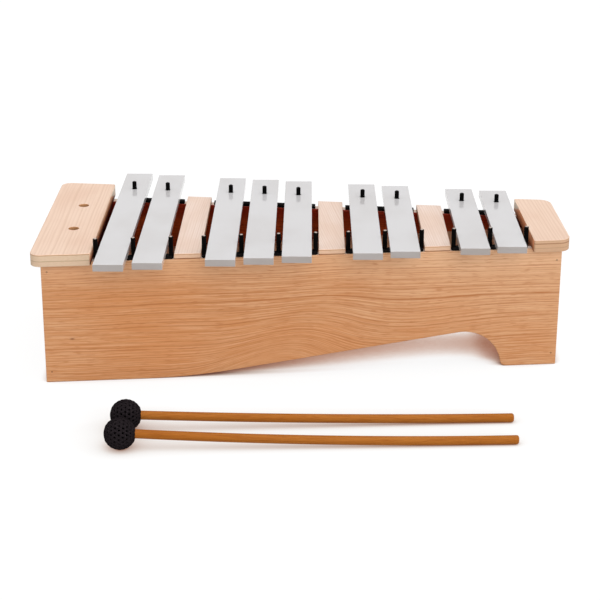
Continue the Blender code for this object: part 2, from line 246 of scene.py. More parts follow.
class Sock:
    def __init__(self, graph, out):
        self.graph = graph
        self.out = out

    def also(self, number):
        return Sock(self.graph, self.out.node.outputs[number])

    def join(self, operation, first, second):
        return self.graph.node("ShaderNodeMath", {"operation": operation}, [first, second])

    def __add__(self, other):
        return self.join("ADD", self, other)

    __radd__ = __add__

    def __sub__(self, other):
        return self.join("SUBTRACT", self, other)

    def __rsub__(self, other):
        return self.join("SUBTRACT", other, self)

    def __mul__(self, other):
        return self.join("MULTIPLY", self, other)

    __rmul__ = __mul__

    def __truediv__(self, other):
        return self.join("DIVIDE", self, other)

    def __neg__(self):
        return self.join("MULTIPLY", self, -1.0)


class Graph:
    def __init__(self, name, tree=None):
        if tree is None:
            self.finish = bpy.data.materials.new(name)
            self.finish.use_nodes = True
            tree = self.finish.node_tree
        self.tree = tree
        self.tree.nodes.clear()

    def node(self, kind, settings=None, inputs=None, out=0):
        made = self.tree.nodes.new(kind)
        for key, value in (settings or {}).items():
            if key == "stops":
                self.setStops(made.color_ramp, value)
            else:
                setattr(made, key, value)
        pairs = (inputs or {}).items() if not isinstance(inputs, list) else enumerate(inputs)
        for key, value in pairs:
            if isinstance(value, Sock):
                self.tree.links.new(value.out, made.inputs[key])
            else:
                made.inputs[key].default_value = value
        return Sock(self, made.outputs[out]) if len(made.outputs) else None

    def setStops(self, ramp, stops):
        while len(ramp.elements) > 1:
            ramp.elements.remove(ramp.elements[-1])
        ramp.elements[0].position = stops[0][0]
        ramp.elements[0].color = stops[0][1]
        for place, colour in stops[1:]:
            ramp.elements.new(place).color = colour

    def places(self):
        # Object coordinates in millimetres, one socket for each axis.
        spot = self.node("ShaderNodeTexCoord", None, None, 3)
        x = self.node("ShaderNodeSeparateXYZ", None, [spot])
        return x * perMetre, x.also(1) * perMetre, x.also(2) * perMetre

    def seen(self):
        # One where the camera sees a point, straight or in a reflection.
        path = self.node("ShaderNodeLightPath")
        return self.node("ShaderNodeMath", {"operation": "MAXIMUM"}, [path, path.also(3)])

    def ramp(self, value, stops):
        # A colour ramp between sRGB tones.
        tones = [(place, tint(*colour)) for place, colour in stops]
        return self.node("ShaderNodeValToRGB", {"stops": tones}, [value])

    def vector(self, x, y, z):
        return self.node("ShaderNodeCombineXYZ", None, [x, y, z])

    def noise(self, x, y, z, detail=2.0, rough=0.5):
        return self.node("ShaderNodeTexNoise", {"noise_dimensions": "3D"},
                         {"Vector": self.vector(x, y, z), "Scale": 1.0, "Detail": detail,
                          "Roughness": rough})

    def lineNoise(self, w):
        return self.node("ShaderNodeTexNoise", {"noise_dimensions": "1D"},
                         {"W": w, "Scale": 1.0, "Detail": 0.0})

    def chance(self, w):
        return self.node("ShaderNodeTexWhiteNoise", {"noise_dimensions": "1D"}, {"W": w})

    def one(self, operation, value):
        return self.node("ShaderNodeMath", {"operation": operation}, [value])

    def bell(self, value):
        return self.one("EXPONENT", -(value * value))

    def step(self, value, low, high):
        settings = {"interpolation_type": "SMOOTHSTEP"}
        return self.node("ShaderNodeMapRange", settings, [value, low, high, 0.0, 1.0])

    def mix(self, factor, first, second, blend="MIX"):
        # Each colour is a socket, a linear colour of four parts or an sRGB tone of three.
        settings = {"data_type": "RGBA", "blend_type": blend}
        first, second = [tint(*c) if isinstance(c, tuple) and len(c) == 3 else c for c in (first, second)]
        return self.node("ShaderNodeMix", settings, {0: factor, 6: first, 7: second}, 2)

    def bump(self, height, strength, distance):
        inputs = {"Height": height, "Strength": strength, "Distance": distance}
        return self.node("ShaderNodeBump", None, inputs)

    def close(self, ground, rough, bump=None, shine=0.5, also=None):
        sockets = {"Base Color": ground, "Roughness": rough, "Specular IOR Level": shine, **(also or {})}
        if bump:
            sockets["Normal"] = bump
        shader = self.node("ShaderNodeBsdfPrincipled", None, sockets)
        self.node("ShaderNodeOutputMaterial", None, {"Surface": shader})
        return self.finish


def tint(red, green, blue):
    # An sRGB colour from 0 to 255, as the linear colour that a socket takes.
    share = [c / 255.0 for c in (red, green, blue)]
    return tuple(c / 12.92 if c <= 0.04045 else ((c + 0.055) / 1.055) ** 2.4 for c in share) + (1.0,)


# Camera at the photograph's viewpoint

cameraPlace = {"spot": (0.006326, -1.610775, 0.673885), "yawPitchRoll": (-0.005664, 0.356939, 0.003405),
               "lens": 97.977, "sensor": 36.0}


def addCamera(look):
    yaw, pitch, roll = look["yawPitchRoll"]
    level = math.cos(pitch)
    ahead = Vector((math.sin(yaw) * level, math.cos(yaw) * level, -math.sin(pitch)))
    right = Vector((math.cos(yaw), -math.sin(yaw), 0.0))
    up = right.cross(ahead)
    across = right * math.cos(roll) + up * math.sin(roll)
    above = up * math.cos(roll) - right * math.sin(roll)
    deselectAll()
    bpy.ops.object.camera_add(location=look["spot"])
    camera = bpy.context.object
    turn = Matrix((across, above, -ahead)).transposed()
    camera.rotation_euler = turn.to_euler()
    camera.data.lens = look["lens"]
    camera.data.sensor_width = look["sensor"]
    scene.camera = camera


addCamera(cameraPlace)
print("camera set")

# Studio: a pale floor, a white dome and wide soft suns

studio = {"domeStrength": 0.38, "floorSize": 14.0, "floorDrop": 0.0002, "floorTone": 0.45,
          "floorShare": 0.75, "floorGlow": 1.22, "shadeRays": 32, "besideFade": (10.0, 2.0),
          "wideReach": 0.45, "nearReach": 0.06, "nearLean": (0.0, -0.47, 0.88), "apron": (-118.0, -104.0),
          "wideTints": [(0.0, (140, 84, 58)), (0.05, (184, 132, 104)), (0.07, (204, 165, 147)),
                        (0.115, (232, 213, 203)), (0.15, (249, 242, 238)), (0.19, (255, 255, 255))],
          "footTint": (230, 212, 204), "footZone": (182.0, 202.0), "footFade": (0.12, 0.24),
          "caseTints": [(0.30, (140, 110, 96)), (0.54, (203, 185, 176)), (0.62, (224, 212, 205)),
                        (0.73, (243, 235, 232)), (0.80, (255, 255, 255))],
          "malletTints": [(0.25, (172, 145, 131)), (0.52, (206, 188, 179)), (0.70, (228, 218, 212)),
                          (0.80, (240, 236, 233)), (1.0, (255, 255, 255))],
          "sunDistance": 3.0,
          "suns": [("frontSun", -12.0, 14.0, 2.36, 60.0), ("topSun", 0.0, 88.0, 1.06, 45.0),
                   ("rightSun", -95.0, 38.0, 0.90, 60.0), ("leftSun", 95.0, 22.0, 0.45, 60.0)]}


def addDome(look):
    world = bpy.data.worlds.new("studioDome")
    scene.world = world
    world.use_nodes = True
    g = Graph("studioDome", world.node_tree)
    strength = g.node("ShaderNodeMapRange", None, [g.seen(), 0.0, 1.0, look["domeStrength"], 1.0])
    glow = g.node("ShaderNodeBackground", None, {"Strength": strength})
    g.node("ShaderNodeOutputWorld", None, {"Surface": glow})


def addFloor(look):
    # Pale and matt, lifted to white where the camera sees it. Two kinds of shade are kept: a wide one under
    # the case, and a near one at each piece that leans away from the front light.
    deselectAll()
    bpy.ops.mesh.primitive_plane_add(size=look["floorSize"], location=(0.0, 0.0, -look["floorDrop"]))
    floor = settle("studioFloor")
    g = Graph("studioFloor")
    x, y = g.places()[:2]
    tone = (look["floorTone"],) * 3 + (1.0,)
    matt = g.node("ShaderNodeBsdfDiffuse", None, {"Color": tone})
    lean = g.vector(*look["nearLean"])
    rays = {"samples": look["shadeRays"]}
    near = g.node("ShaderNodeAmbientOcclusion", rays, {"Distance": look["nearReach"], "Normal": lean}, 1)
    wide = g.node("ShaderNodeAmbientOcclusion", rays, {"Distance": look["wideReach"]}, 1)
    outside, within = look["besideFade"]
    pastLow = g.step(x, caseLowMm - outside, caseLowMm + within)
    pastHigh = g.step(x, caseHighMm - within, caseHighMm + outside)
    caseShade = g.mix(pastLow * (1.0 - pastHigh), (255, 255, 255), g.ramp(near, look["caseTints"]))
    contact = g.mix(g.step(y, *look["apron"]), g.ramp(near, look["malletTints"]), caseShade)
    shade = g.mix(1.0, g.ramp(wide, look["wideTints"]), contact, "MULTIPLY")
    # A warmer painted shade on the floor under the case by its high foot.
    atFoot = g.step(x, *look["footZone"]) * (1.0 - g.step(wide, *look["footFade"]))
    shade = g.mix(atFoot, shade, look["footTint"], "MULTIPLY")
    glow = g.node("ShaderNodeEmission", None, {"Color": shade, "Strength": look["floorGlow"]})
    both = g.node("ShaderNodeMixShader", None, [g.seen() * look["floorShare"], matt, glow])
    g.node("ShaderNodeOutputMaterial", None, {"Surface": both})
    floor.data.materials.append(g.finish)


def addSuns(look):
    # Each sun stands to the left of the front by its first angle, at the height of its second. The low
    # front sun is kept out of reflections, so that the bars don't glare when they are seen from behind.
    for name, aside, height, power, spread in look["suns"]:
        turn, rise = math.radians(aside), math.radians(height)
        level = math.cos(rise)
        towards = Vector((-math.sin(turn) * level, -math.cos(turn) * level, math.sin(rise)))
        deselectAll()
        bpy.ops.object.light_add(type="SUN", location=towards * look["sunDistance"])
        lamp = bpy.context.object
        lamp.name = name
        lamp.rotation_euler = towards.to_track_quat("Z", "Y").to_euler()
        lamp.data.energy = power
        lamp.data.angle = math.radians(spread)
        lamp.visible_glossy = name != "frontSun"


addDome(studio)
addFloor(studio)
addSuns(studio)
print("studio set")

# Board wood of the case: long growth lines that climb over a low hill of figure, read in millimetres from
# the low end along the board and from the ground up

frontBoard = {"dark": (179, 111, 62), "low": (201, 139, 91), "mid": (216, 164, 121),
              "pale": (226, 181, 142), "warm": (207, 138, 84), "edge": (240, 218, 202),
              "innerDarkening": (0.80, 0.25, 0.08, 1.0), "topShade": (0.44, 0.055, 0.016, 1.0), "topFade": (26.0, 4.0),
              "cornerShade": (0.17, 0.035, 0.02, 1.0), "corner": (40.0, 54.0), "ringStep": 2.9,
              "hillSpot": 233.0, "hillDrift": 0.62, "hillWidth": 49.0, "hillHeight": 84.0, "hillFade": 29.0,
              "dipSpot": 380.0, "dipWidth": 75.0, "dipLevel": 44.0, "dipSpread": 34.0,
              "dipDepth": 8.5, "warmSpot": 112.0, "warmWidth": 62.0, "paleFrom": 250.0, "paleTo": 480.0,
              "lines": [(108.0, 0.40, 0.6), (101.0, 0.50, 0.7), (92.0, 0.55, 0.7), (82.3, 0.95, 0.8),
                        (72.0, 0.55, 0.7), (57.5, 0.60, 0.7), (51.0, 0.40, 0.6), (35.5, 0.60, 0.8),
                        (23.0, 0.45, 0.7), (9.0, 0.45, 0.8)],
              "knot": (28.4, 47.4), "knotSize": (2.2, 1.0), "knotTone": (124, 68, 42), "seed": 3.0,
              "face": "front", "bareTop": (1.0, 0.5), "bareFrom": (0.8, 2.0), "bareTo": (9.5, 10.5),
              "length": (caseHigh.x - caseLowX) * perMetre, "endBare": (0.5, 1.5), "skin": (8.0, 10.5)}
rearBoard = dict(frontBoard, hillSpot=130.0, hillHeight=60.0, hillWidth=64.0, dipSpot=330.0, warmSpot=390.0,
                 knot=(410.0, 88.0), seed=17.0, face="rear")
lowBoard = dict(frontBoard, hillSpot=136.0, hillHeight=46.0, hillWidth=38.0, dipSpot=60.0, dipDepth=3.0,
                warmSpot=70.0, knot=(190.0, 30.0), seed=29.0, face="low")
highBoard = dict(lowBoard, hillSpot=58.0, hillHeight=38.0, dipSpot=20.0, knot=(90.0, 102.0), seed=43.0,
                 face="high")


def boardPlace(look, x, y):
    # How far along the board a point lies, and how deep under its outer face.
    fromLow = x - caseLowMm
    across = y - midY * perMetre
    face = lowHalfDepth * perMetre - fromLow * sideTaper
    if look["face"] == "front":
        return fromLow, across + face
    if look["face"] == "rear":
        return fromLow, face - across
    along = across + lowHalfDepth * perMetre
    return along, fromLow if look["face"] == "low" else caseHighMm - x


def boardWood(name, look):
    g = Graph(name)
    x, y, z = g.places()
    along, depth = boardPlace(look, x, y)
    seed = look["seed"]
    sway = g.noise(along * 0.0065, depth * 0.02 + seed, z * 0.016, 1.0) - 0.5
    wander = g.noise(along * 0.030, depth * 0.05 + seed, z * 0.060, 1.0) - 0.5
    crest = (along - look["hillSpot"] - z * look["hillDrift"]) / look["hillWidth"]
    hill = g.bell(crest) * g.one("EXPONENT", z / -look["hillFade"]) * look["hillHeight"]
    dipAlong = (along - look["dipSpot"]) / look["dipWidth"]
    dip = g.bell(dipAlong) * g.bell((z - look["dipLevel"]) / look["dipSpread"]) * look["dipDepth"]
    level = z - hill + dip + sway * 5.0 + wander * 1.1

    # Growth lines: each climbs slowly to dark and stops short, with its own strength, and a few stand out
    phase = level / look["ringStep"] + g.lineNoise(level * 0.06 + seed) * 3.0
    share = g.one("FRACT", phase)
    own = g.chance(g.one("FLOOR", phase) + seed)
    late = g.step(share, 0.42, 0.88) * (1.0 - g.step(share, 0.90, 1.0))
    patchy = g.step(g.noise(along * 0.030, depth * 0.05 + seed, level * 0.30, 2.0), 0.32, 0.64)
    growth = late * (own * 0.65 + 0.20) * (patchy * 0.70 + 0.30)
    bold = 0.0
    for height, strength, width in look["lines"]:
        bold = g.bell((level - height) / width) * strength + bold
    bold = bold * (patchy * 0.4 + 0.6)

    # Fibres, and the short dark pores along them
    fibre = g.noise(along * 0.017, depth * 0.3 + seed, level * 0.66, 2.0, 0.65)
    pores = g.step(g.noise(along * 0.075, depth * 0.6 + seed, level * 1.20, 1.0), 0.56, 0.70)
    cloud = g.noise(along * 0.0055, depth * 0.02 + seed, z * 0.014, 2.0)

    ground = g.mix(g.step(fibre, 0.36, 0.62), look["low"], look["mid"])
    warm = g.bell((along - look["warmSpot"]) / look["warmWidth"]) * 0.55 + g.step(cloud, 0.45, 0.75) * 0.45
    ground = g.mix(warm, ground, look["warm"])
    # Paler towards the high end and in the light fibres; along the top strip a painted light offsets the
    # bars' shade on the board
    paleGrainAndTopLight = g.step(along, look["paleFrom"], look["paleTo"]) * g.step(z, 10.0, 110.0) * 0.45
    paleGrainAndTopLight = paleGrainAndTopLight + g.step(z, 90.0, 128.0) * 0.55
    ground = g.mix(paleGrainAndTopLight + g.step(fibre, 0.52, 0.80) * 0.40, ground, look["pale"])
    ground = g.mix(growth, ground, look["dark"])
    ground = g.mix(bold, ground, look["dark"])
    ground = g.mix(pores * 0.55, ground, look["dark"])
    (knotAlong, knotUp), (knotLong, knotHigh) = look["knot"], look["knotSize"]
    speck = g.bell((along - knotAlong) / knotLong) * g.bell((z - knotUp) / knotHigh)
    ground = g.mix(speck * 0.8, ground, look["knotTone"])

    # Inside the case the wood is darkened, with painted shade deepest at the top under the bars and in the
    # corners, and its sawn ends and top edge are left bare
    inside = g.step(depth, *look["skin"]) * g.step(along, *look["endBare"])
    inside = inside * g.step(look["length"] - along, *look["endBare"])
    fromLow = x - caseLowMm
    outOfCorner = g.step(fromLow, *look["corner"]) * g.step(look["length"] - fromLow, *look["corner"])
    # Painted shade: the inside darkens towards the top, where the bars cover it, and near the case's ends
    innerDarkening = g.mix(g.step(caseTopMm - z, *look["topFade"]), look["innerDarkening"], look["topShade"])
    innerDarkening = g.mix(outOfCorner, look["cornerShade"], innerDarkening)
    ground = g.mix(inside, ground, innerDarkening, "MULTIPLY")
    bareLow, bareHigh = look["bareTop"]
    bare = g.step(z, caseTopMm - bareLow, caseTopMm - bareHigh) * g.step(depth, *look["bareFrom"])
    bare = bare * (1.0 - g.step(depth, *look["bareTo"]))
    ground = g.mix(bare, ground, look["edge"])
    relief = fibre * 0.5 - pores * 0.6 - growth * 0.3
    return g.close(ground, 0.48 + fibre * 0.12 + pores * 0.08, g.bump(relief, 0.02, 0.0003), shine=0.30)


for nodeName, board in (("front_panel", frontBoard), ("rear_panel", rearBoard),
                        ("low_end_panel", lowBoard), ("high_end_panel", highBoard)):
    finishNode(nodeName, boardWood(nodeName + "_wood", board))
print("case boards finished")

# Resonator floor: thin brown board with short broken grain

floorBoard = {"brown": (226, 180, 145), "deep": (192, 138, 101)}


def resonatorWood(look):
    g = Graph("resonator_wood")
    x, y, z = g.places()
    strands = g.noise(x * 0.02, y * 0.55, z * 0.2, 3.0, 0.6)
    flecks = g.step(g.noise(x * 0.12, y * 1.6, z * 0.5, 2.0), 0.55, 0.75)
    ground = g.mix(g.step(strands, 0.35, 0.7), look["brown"], look["deep"])
    ground = g.mix(flecks * 0.3, ground, look["deep"])
    return g.close(ground, 0.55 + strands * 0.2, g.bump(strands - flecks * 0.5, 0.12, 0.0004))


finishNode("resonator_floor", resonatorWood(floorBoard))
print("resonator floor finished")

# Pale plywood of the end caps and slats: face veneer, and the layers along the edge

veneerLook = {"pale": (238, 209, 188), "line": (219, 184, 159), "flush": (232, 199, 177), "shine": 0.30}
sawnEdge = {"streak": (184, 142, 106), "shine": 0.25}
lowCapLook = dict(veneerLook, seed=5.0, lineStep=4.2, lean=0.0)
highCapLook = dict(veneerLook, seed=12.0, lineStep=3.6, lean=0.06)
slatLook = dict(veneerLook, pale=(240, 218, 205), line=(218, 187, 165), flush=(234, 207, 190), lineStep=2.6)


def veneer(name, look):
    # Grain that runs away from the player, leaning a little, with faint growth lines.
    g = Graph(name)
    x, y, z = g.places()
    seed = look["seed"]
    sway = g.noise(x * 0.010 + seed, y * 0.0045, z * 0.01, 0.0) - 0.5
    wander = g.noise(x * 0.05 + seed, y * 0.014, z * 0.05, 1.0) - 0.5
    level = x + y * look["lean"] + sway * 9.0 + wander * 1.6
    phase = level / look["lineStep"] + g.lineNoise(level * 0.09 + seed) * 0.9
    share = g.one("FRACT", phase)
    own = g.chance(g.one("FLOOR", phase) + seed)
    late = g.step(share, 0.30, 0.80) * (1.0 - g.step(share, 0.80, 1.0))
    fibre = g.noise(level * 0.8, y * 0.012 + seed, z * 0.4, 2.0, 0.55)
    pores = g.step(g.noise(level * 1.7, y * 0.05 + seed, z * 0.8, 1.0), 0.62, 0.80)
    cloud = g.noise(x * 0.02 + seed, y * 0.012, z * 0.02, 2.0)
    ground = g.mix(g.step(cloud, 0.38, 0.70), look["pale"], look["flush"])
    ground = g.mix(late * (own * 0.35 + 0.30), ground, look["line"])
    ground = g.mix(g.step(fibre, 0.48, 0.80) * 0.45, ground, look["line"])
    ground = g.mix(pores * 0.25, ground, look["line"])
    return g.close(ground, 0.48 + fibre * 0.12, g.bump(fibre - pores * 0.6, 0.05, 0.0003), look["shine"])


def sawnGrain(g, x, y, z, bands):
    # Streaks of end grain over the layers' colours.
    streak = g.noise(x * 0.3, y * 0.3, z * 1.2, 2.0, 0.6)
    return g.mix(g.step(streak, 0.45, 0.75) * 0.20, bands, sawnEdge["streak"]), streak


def closeSawn(g, ground, streak):
    return g.close(ground, 0.58 + streak * 0.2, g.bump(streak, 0.10, 0.0003), sawnEdge["shine"])


def plyEdge(name, top, depth, layers):
    # Layers by depth under the top face, slightly wavy, with glue lines between them.
    g = Graph(name)
    x, y, z = g.places()
    wave = g.noise(x * 0.05, y * 0.05, z * 0.1, 1.0) - 0.5
    down = (top * perMetre - z + wave * 0.5) / depth
    bands = g.ramp(down, [(place / depth, colour) for place, colour in layers])
    return closeSawn(g, *sawnGrain(g, x, y, z, bands))


def glued(palette, joints, depth):
    # Ramp stops for plies of the palette's colours with a thin glue line at each joint.
    stops = [(0.0, palette[0])]
    for (place, colour, width), ply in zip(joints, palette[1:]):
        before = stops[-1][1]
        stops += [(place - width, before), (place - width * 0.4, colour),
                  (place + width * 0.4, colour), (place + width, ply)]
    return stops + [(depth, palette[-1])]


endCaps = {"edgeRound": 0.0006, "outerRound": 0.012, "innerRound": 0.0025, "overhang": 0.013,
           "lowEndOverhang": 0.010, "highEndOverhang": 0.005, "pinReach": 0.0045, "turns": (0.45, 1.5),
           "holeInset": 0.0245, "holeSpacing": 0.082, "holeRadius": 0.0054, "holeSides": 40,
           "outerSteps": 12, "innerSteps": 5, "edgeSteps": 3, "endReach": 0.001,
           "lowPlies": [(234, 200, 172), (218, 191, 163), (216, 188, 160)],
           "lowJoints": [(1.0, (184, 142, 110), 0.55), (7.2, (187, 160, 132), 0.55)],
           "highPlies": [(222, 186, 155), (209, 171, 139), (205, 166, 133), (203, 164, 132)],
           "highJoints": [(0.9, (192, 150, 119), 0.45), (3.7, (164, 118, 84), 0.75),
                          (8.4, (186, 147, 115), 0.5)],
           "bore": [(194, 144, 100), (152, 99, 54)],
           # The inner sides' tones are painted: warm shade beside the bars, darkest at the foot, and pale
           # backlight behind the case
           "lowInner": [(0.0, (252, 220, 190)), (0.38, (224, 164, 124)), (0.60, (176, 104, 68)),
                        (0.78, (80, 20, 7)), (1.0, (62, 12, 4))],
           "highInner": [(0.0, (255, 178, 128)), (0.45, (238, 158, 112)), (1.0, (138, 80, 50))],
           "bare": (255, 238, 218), "bareSlant": 3.4, "lowBare": (134.0, 146.0), "highBare": (92.0, 104.0)}


def endCap(name, node, lowX, highX, outerX, turn, finishes):
    # The finishes are the face's, the edge's, the inner side's and, where the cap has holes, the bore's.
    low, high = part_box(node)
    innerX = lowX + highX - outerX
    reach = halfDepth(lowX) + endCaps["overhang"]
    cap = addBlock(name, Vector((lowX, midY - reach, low.z)), Vector((highX, midY + reach, high.z)))
    middle = ((lowX + highX) / 2, midY, low.z)
    openMesh()
    narrowEnd(middle, (halfDepth(highX) + endCaps["overhang"]) / reach)
    for end, x in (("outer", outerX), ("inner", innerX)):
        roundEdges(lambda e: isUpright(e) and abs(edgeMiddle(e).x - x) < endCaps["endReach"],
                   endCaps[end + "Round"], endCaps[end + "Steps"])
    bpy.ops.mesh.select_all(action="SELECT")
    bpy.ops.transform.rotate(value=-math.radians(turn), orient_axis="Z", center_override=middle)
    closeMesh()
    places = []
    if node == "low_end_cap":
        holeX = caseLowX + endCaps["holeInset"]
        places = [(holeX, midY + side * endCaps["holeSpacing"] / 2) for side in (frontSide, rearSide)]
        drill(cap, places, endCaps["holeRadius"], low.z, high.z, endCaps["holeSides"])
    makeActive(cap)
    openMesh()
    roundEdges(isCorner, endCaps["edgeRound"], endCaps["edgeSteps"])
    closeMesh()
    dress(cap, finishes, "case", "ply", node)
    paintFaces(cap, 1, isSide)
    inward = 1.0 if innerX > outerX else -1.0
    paintFaces(cap, 2, lambda f: f.normal.x * inward > facingLimit)
    bore = endCaps["holeRadius"] + endCaps["edgeRound"]
    for spot in places:
        paintFaces(cap, 3, lambda f: (f.center.xy - Vector(spot)).length < bore and isSide(f))
    smoothOff(cap)


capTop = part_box("low_end_cap")[1].z
capDepth = (capTop - caseTop) * perMetre


def capEdge(name, layers):
    return plyEdge(name, capTop, capDepth, layers)


def innerEdge(word):
    # The side towards the bars: painted warm shade beside them, darkest towards the foot, and painted
    # backlight where it stands out behind them.
    g = Graph(word + "_cap_inner_edge")
    x, y, z = g.places()
    down = capTop * perMetre - z
    bands = g.ramp(down / capDepth, endCaps[word + "Inner"])
    ground, streak = sawnGrain(g, x, y, z, bands)
    behind = g.step(y - down * endCaps["bareSlant"], *endCaps[word + "Bare"])
    return closeSawn(g, g.mix(behind, ground, endCaps["bare"]), streak)


lowEdge = capEdge("low_cap_edge", glued(endCaps["lowPlies"], endCaps["lowJoints"], capDepth))
highEdge = capEdge("high_cap_edge", glued(endCaps["highPlies"], endCaps["highJoints"], capDepth))
# The storage holes' bores darken from top to foot: painted shade down the holes.
lowFinishes = [veneer("low_cap_veneer", lowCapLook), lowEdge, innerEdge("low"),
               capEdge("storage_hole_bore", list(zip((0.0, capDepth), endCaps["bore"])))]
highFinishes = [veneer("high_cap_veneer", highCapLook), highEdge, innerEdge("high")]
lowCapEnd = caseLowX - endCaps["lowEndOverhang"]
highCapEnd = caseHigh.x + endCaps["highEndOverhang"]
endCap("lowEndCap", "low_end_cap", lowCapEnd, frontPins[0][0] - endCaps["pinReach"], lowCapEnd,
       endCaps["turns"][0], lowFinishes)
endCap("highEndCap", "high_end_cap", frontPins[-1][0] + endCaps["pinReach"], highCapEnd, highCapEnd,
       endCaps["turns"][1], highFinishes)
print("end caps made")

# Bridge slats between the groups of bars

bridgeSlats = {"edgeRound": 0.0005, "edgeSteps": 3, "leans": (-0.03, 0.14, 0.10), "seeds": (27.0, 34.0, 41.0),
               "plies": [(236, 204, 178), (226, 188, 158), (214, 172, 140)],
               "joints": [(0.9, (176, 122, 86), 0.40), (5.2, (150, 94, 60), 0.50)]}


def bridgeSlat(number, edge):
    node = f"bridge_slat_{number}"
    low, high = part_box(node)
    slat = addBlock(f"bridgeSlat{number}", low, high)
    openMesh()
    narrowEnd(((low.x + high.x) / 2, midY, low.z), halfDepth(high.x) / halfDepth(low.x))
    roundEdges(isCorner, bridgeSlats["edgeRound"], bridgeSlats["edgeSteps"])
    closeMesh()
    look = dict(slatLook, seed=bridgeSlats["seeds"][number - 1], lean=bridgeSlats["leans"][number - 1])
    face = veneer(f"slat_veneer_{number}", look)
    dress(slat, [face, edge], "case", "ply", node)
    paintFaces(slat, 1, isSide)
    smoothOff(slat)


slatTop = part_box("bridge_slat_1")[1].z
slatDepth = (slatTop - caseTop) * perMetre
slatLayers = glued(bridgeSlats["plies"], bridgeSlats["joints"], slatDepth)
slatEdge = plyEdge("slat_edge", slatTop, slatDepth, slatLayers)
for slatNumber in range(1, len(barGroups)):
    bridgeSlat(slatNumber, slatEdge)
print("bridge slats made")

# Bars: flat aluminium, eased edges, a drilled hole for the rear pin and a tuning undercut

bars = {"edgeRound": 0.0003, "edgeSteps": 3, "holeRadius": 0.0029, "holeSides": 28, "rimReach": 0.004,
        "rimRound": 0.0003, "rimSteps": 2, "undercut": 0.0018, "undercutMargin": 0.0310,
        "undercutSteps": 12, "pinInset": 0.00704, "face": (215, 213, 214), "shade": (209, 206, 206),
        "end": (171, 164, 161), "endShade": (165, 157, 152), "metal": 0.2, "roughness": 0.55}


def barMetal(name, light, dark, look):
    # Satin anodised metal: very fine hair lines and soft clouds from handling.
    g = Graph(name)
    x, y, z = g.places()
    hair = g.noise(x * 4.0, y * 0.05, z * 2.0, 2.0, 0.6)
    cloud = g.noise(x * 0.02, y * 0.012, z * 0.05, 2.0)
    ground = g.mix(g.step(cloud, 0.35, 0.68), light, dark)
    coat = {"Metallic": look["metal"], "Coat Weight": 1.0, "Coat Roughness": 0.07, "Coat IOR": 1.55}
    return g.close(ground, look["roughness"] + hair * 0.06, shine=0.1, also=coat)


def makeBar(number, finishes):
    node = f"bar_{number}"
    low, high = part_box(node)
    x = (low.x + high.x) / 2
    bar = addBlock(f"toneBar{number}", low, high)
    openMesh()
    reach = halfDepth(x) - bars["undercutMargin"]
    steps = bars["undercutSteps"]
    cuts = [midY + reach * (2.0 * k / steps - 1.0) for k in range(steps + 1)]
    cutAcross(cuts, 1)
    for y in cuts[1:-1]:
        rise = bars["undercut"] * (1.0 - ((y - midY) / reach) ** 2)
        pick("VERT", lambda v: abs(v.co.y - y) < onPlane and v.co.z < low.z + onPlane)
        bpy.ops.transform.translate(value=(0.0, 0.0, rise))
    roundEdges(isCorner, bars["edgeRound"], bars["edgeSteps"])
    closeMesh()
    holeY = midY + halfDepth(x) - bars["pinInset"]
    drill(bar, [(x, holeY)], bars["holeRadius"], low.z, high.z, bars["holeSides"])
    makeActive(bar)
    openMesh()
    rim = Vector((x, holeY))
    roundEdges(lambda e: isCorner(e) and (edgeMiddle(e).xy - rim).length < bars["rimReach"],
               bars["rimRound"], bars["rimSteps"])
    closeMesh()
    dress(bar, finishes, node, "aluminium", node)
    paintFaces(bar, 1, lambda f: abs(f.normal.y) > facingLimit)
    smoothOff(bar)


# The end faces take a darker copy of the metal: painted shade.
barFinishes = [barMetal("bar_aluminium", bars["face"], bars["shade"], bars),
               barMetal("bar_end_aluminium", bars["end"], bars["endShade"], bars)]
for barNumber in range(1, barCount + 1):
    makeBar(barNumber, barFinishes)
print("bars made")

# Cushion strips: a thin black strip on each long panel with a pad under each bar

cushions = {"width": 0.008, "base": 0.0036, "frontInset": 0.0005, "rearInset": 0.003, "padMargin": 0.0012,
            "barWidth": 0.030, "edgeRound": 0.0006, "edgeSteps": 2, "edgeTurn": 0.6, "sleeveRoom": 0.0027,
            "sleeveSides": 20, "pinMargin": 0.003, "tone": (15, 13, 13), "dust": (32, 28, 28)}


def cushionRubber(look):
    g = Graph("cushion_rubber")
    x, y, z = g.places()
    crumb = g.noise(x * 1.6, y * 1.6, z * 1.6, 3.0, 0.6)
    dust = g.step(g.noise(x * 0.15, y * 0.3, z * 0.4, 3.0, 0.6), 0.48, 0.75)
    ground = g.mix(dust * 0.6 + crumb * 0.2, look["tone"], look["dust"])
    return g.close(ground, 0.75 + crumb * 0.2, g.bump(crumb, 0.35, 0.0004), shine=0.08)


def sideY(x, side, inset):
    # The y of a line that lies this far inside a long panel's outer face.
    return midY + side * (halfDepth(x) - inset / math.cos(sideAngle))


